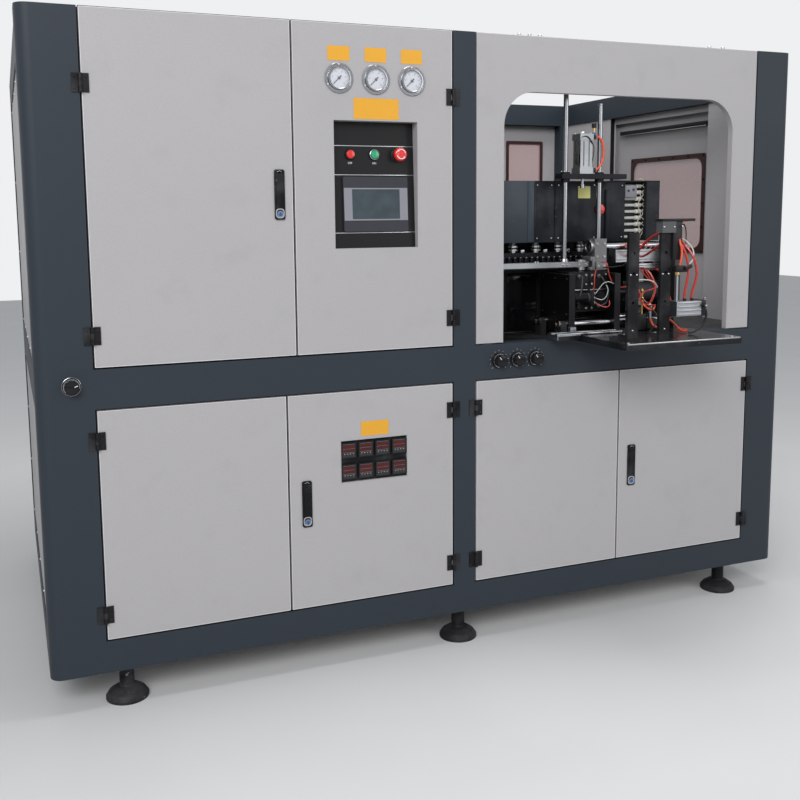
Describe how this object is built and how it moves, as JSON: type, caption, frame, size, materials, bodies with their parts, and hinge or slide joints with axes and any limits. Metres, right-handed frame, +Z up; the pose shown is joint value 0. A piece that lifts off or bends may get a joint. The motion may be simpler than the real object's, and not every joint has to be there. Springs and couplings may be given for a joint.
{
  "type": "stretch blow moulding machine",
  "caption": "Two-bay sheet-steel cabinet with hinged doors, control recess and gauges, and an open moulding station: preform line, heating tunnel, mould clamp and stretch head.",
  "frame": {"origin": "centre of the overall footprint, on the floor under the feet", "axes": "+X along the front to the right as seen from the front, +Y from the front to the back, +Z up"},
  "size_m": [2.5, 1.755, 1.9],
  "materials": {
    "frame_paint": "semi-gloss dark slate powder coat",
    "panel_paint": "warm grey powder coat",
    "inner_paint": "light grey coat, lightly dusted",
    "deck_steel": "black coat, worn at the edges",
    "tinted_pane": "pink-tinted clear sheet with a dark border",
    "black_fitting": "satin black",
    "black_plastic": "fine-grained black",
    "feet_rubber": "dark coated machine feet",
    "screen": "dark frame round a smooth display",
    "stop_red": "glossy red",
    "start_green": "glossy green",
    "gauge_metal": "polished rim",
    "bright_steel": "ground and chromed",
    "clear_aluminium": "clear anodised",
    "black_aluminium": "black anodised",
    "oven_steel": "blued dark sheet",
    "lamp_quartz": "clear quartz with white ceramic ends",
    "mould_steel": "oiled dark tool steel",
    "air_hose": "orange and translucent air hose"
  },
  "bodies": {
    "machine_frame": {"front_frame": "frame_paint", "rear_frame": "frame_paint", "tie_rails": "frame_paint", "inner_panels": "inner_paint", "deck": "deck_steel", "window_panel": "panel_paint", "side_panels": "panel_paint", "rear_panels": "panel_paint", "rear_pane": "tinted_pane", "levelling_feet": "feet_rubber", "fixed_hinges": "black_fitting", "table_plate": "black_aluminium", "table_uprights": "black_fitting", "head_bar": "clear_aluminium", "bearing_bracket": "clear_aluminium", "guide_rods": "bright_steel", "oven_housing": "oven_steel", "heating_lamps": "lamp_quartz", "fixed_platen": "mould_steel", "clamp_bars": "bright_steel", "air_units": "clear_aluminium", "air_tubes": "air_hose"},
    "upper_door": {"upper_door": "panel_paint", "lock_body_1": "black_fitting"},
    "control_door": {"control_door": "panel_paint", "control_panel": "black_fitting", "operator_screen": "screen", "gauge_cases": "gauge_metal"},
    "lower_door_1": {"lower_door_1": "panel_paint"},
    "lower_door_2": {"lower_door_2": "panel_paint", "lock_body_2": "black_fitting", "controller_panel": "black_fitting", "temperature_controllers": "black_plastic"},
    "lower_door_3": {"lower_door_3": "panel_paint"},
    "lower_door_4": {"lower_door_4": "panel_paint", "lock_body_3": "black_fitting"},
    "side_door": {"side_door": "panel_paint", "side_pane": "tinted_pane"},
    "lock_paddle_1": {"lock_paddle_1": "black_fitting"},
    "lock_paddle_2": {"lock_paddle_2": "black_fitting"},
    "lock_paddle_3": {"lock_paddle_3": "black_fitting"},
    "lock_button_1": {"lock_button_1": "gauge_metal"},
    "lock_button_2": {"lock_button_2": "gauge_metal"},
    "lock_button_3": {"lock_button_3": "gauge_metal"},
    "stop_button": {"stop_button": "stop_red"},
    "start_button": {"start_button": "start_green"},
    "emergency_stop": {"emergency_stop": "stop_red"},
    "gauge_needle_1": {"gauge_needle_1": "black_plastic"},
    "gauge_needle_2": {"gauge_needle_2": "black_plastic"},
    "gauge_needle_3": {"gauge_needle_3": "black_plastic"},
    "heater_knob_1": {"heater_knob_1": "black_plastic"},
    "heater_knob_2": {"heater_knob_2": "black_plastic"},
    "heater_knob_3": {"heater_knob_3": "black_plastic"},
    "main_switch": {"main_switch": "black_plastic"},
    "stretch_rod": {"stretch_rod": "bright_steel"},
    "moving_platen": {"moving_platen": "mould_steel"},
    "lift_crossbar": {"lift_crossbar": "black_aluminium", "stretch_cylinder": "clear_aluminium"},
    "preform_carrier": {"preform_carrier": "black_aluminium", "preform_holders": "clear_aluminium"}
  },
  "joints": [
    {"name": "upper_door_hinge", "type": "hinge", "parent": "machine_frame", "child": "upper_door", "pos_m": [-1.09825, -0.5785, 1.376], "axis": [0, 0, -1], "range_deg": [0, 110]},
    {"name": "control_door_hinge", "type": "hinge", "parent": "machine_frame", "child": "control_door", "pos_m": [-0.03875, -0.5785, 1.376], "axis": [0, 0, 1], "range_deg": [0, 105]},
    {"name": "lower_door_1_hinge", "type": "hinge", "parent": "machine_frame", "child": "lower_door_1", "pos_m": [-1.09825, -0.5785, 0.5145], "axis": [0, 0, -1], "range_deg": [0, 110]},
    {"name": "lower_door_2_hinge", "type": "hinge", "parent": "machine_frame", "child": "lower_door_2", "pos_m": [-0.03875, -0.5785, 0.5145], "axis": [0, 0, 1], "range_deg": [0, 90]},
    {"name": "lower_door_3_hinge", "type": "hinge", "parent": "machine_frame", "child": "lower_door_3", "pos_m": [0.03875, -0.5785, 0.5145], "axis": [0, 0, -1], "range_deg": [0, 90]},
    {"name": "lower_door_4_hinge", "type": "hinge", "parent": "machine_frame", "child": "lower_door_4", "pos_m": [1.09825, -0.5785, 0.5145], "axis": [0, 0, 1], "range_deg": [0, 110]},
    {"name": "side_door_slide", "type": "slide", "parent": "machine_frame", "child": "side_door", "axis": [0, 1, 0], "range_m": [0, 0.35]},
    {"name": "lock_paddle_1_pivot", "type": "hinge", "parent": "upper_door", "child": "lock_paddle_1", "pos_m": [-0.5765, -0.5725, 1.4745], "axis": [-1, 0, 0], "range_deg": [0, 35], "stiffness_Nm_per_rad": 0.05},
    {"name": "lock_button_1_press", "type": "slide", "parent": "upper_door", "child": "lock_button_1", "axis": [0, 1, 0], "range_m": [0, 0.004], "stiffness_N_per_m": 500},
    {"name": "lock_paddle_2_pivot", "type": "hinge", "parent": "lower_door_2", "child": "lock_paddle_2", "pos_m": [-0.51475, -0.5725, 0.5705], "axis": [-1, 0, 0], "range_deg": [0, 35], "stiffness_Nm_per_rad": 0.05},
    {"name": "lock_button_2_press", "type": "slide", "parent": "lower_door_2", "child": "lock_button_2", "axis": [0, 1, 0], "range_m": [0, 0.004], "stiffness_N_per_m": 500},
    {"name": "lock_paddle_3_pivot", "type": "hinge", "parent": "lower_door_4", "child": "lock_paddle_3", "pos_m": [0.62225, -0.5725, 0.5705], "axis": [-1, 0, 0], "range_deg": [0, 35], "stiffness_Nm_per_rad": 0.05},
    {"name": "lock_button_3_press", "type": "slide", "parent": "lower_door_4", "child": "lock_button_3", "axis": [0, 1, 0], "range_m": [0, 0.004], "stiffness_N_per_m": 500},
    {"name": "stop_button_press", "type": "slide", "parent": "control_door", "child": "stop_button", "axis": [0, 0.9988, -0.0491], "range_m": [0, 0.003], "stiffness_N_per_m": 600},
    {"name": "start_button_press", "type": "slide", "parent": "control_door", "child": "start_button", "axis": [0, 0.9988, -0.0491], "range_m": [0, 0.003], "stiffness_N_per_m": 600},
    {"name": "emergency_stop_press", "type": "slide", "parent": "control_door", "child": "emergency_stop", "axis": [0, 0.9988, -0.0491], "range_m": [0, 0.005], "stiffness_N_per_m": 600},
    {"name": "gauge_needle_1_turn", "type": "hinge", "parent": "control_door", "child": "gauge_needle_1", "pos_m": [-0.39575, -0.5755, 1.7475], "axis": [0, 1, 0], "range_deg": [0, 270], "stiffness_Nm_per_rad": 0.0002},
    {"name": "gauge_needle_2_turn", "type": "hinge", "parent": "control_door", "child": "gauge_needle_2", "pos_m": [-0.28375, -0.5755, 1.7475], "axis": [0, 1, 0], "range_deg": [0, 270], "stiffness_Nm_per_rad": 0.0002},
    {"name": "gauge_needle_3_turn", "type": "hinge", "parent": "control_door", "child": "gauge_needle_3", "pos_m": [-0.17175, -0.5755, 1.7475], "axis": [0, 1, 0], "range_deg": [0, 270], "stiffness_Nm_per_rad": 0.0002},
    {"name": "heater_knob_1_turn", "type": "hinge", "parent": "machine_frame", "child": "heater_knob_1", "pos_m": [0.1195, -0.5775, 0.904], "axis": [0, 1, 0], "range_deg": [0, 270]},
    {"name": "heater_knob_2_turn", "type": "hinge", "parent": "machine_frame", "child": "heater_knob_2", "pos_m": [0.184, -0.5775, 0.904], "axis": [0, 1, 0], "range_deg": [0, 270]},
    {"name": "heater_knob_3_turn", "type": "hinge", "parent": "machine_frame", "child": "heater_knob_3", "pos_m": [0.2485, -0.5775, 0.904], "axis": [0, 1, 0], "range_deg": [0, 270]},
    {"name": "main_switch_turn", "type": "hinge", "parent": "machine_frame", "child": "main_switch", "pos_m": [-1.158, -0.5775, 0.914], "axis": [0, 1, 0], "range_deg": [0, 90]},
    {"name": "crossbar_lift", "type": "slide", "parent": "machine_frame", "child": "lift_crossbar", "axis": [0, 0, 1], "range_m": [-0.18, 0.05]},
    {"name": "rod_stretch", "type": "slide", "parent": "lift_crossbar", "child": "stretch_rod", "axis": [0, 0, 1], "range_m": [-0.1, 0]},
    {"name": "mould_open", "type": "slide", "parent": "machine_frame", "child": "moving_platen", "axis": [1, 0, 0], "range_m": [0, 0.08]},
    {"name": "carrier_index", "type": "slide", "parent": "machine_frame", "child": "preform_carrier", "axis": [1, 0, 0], "range_m": [0, 0.086]}
  ]
}
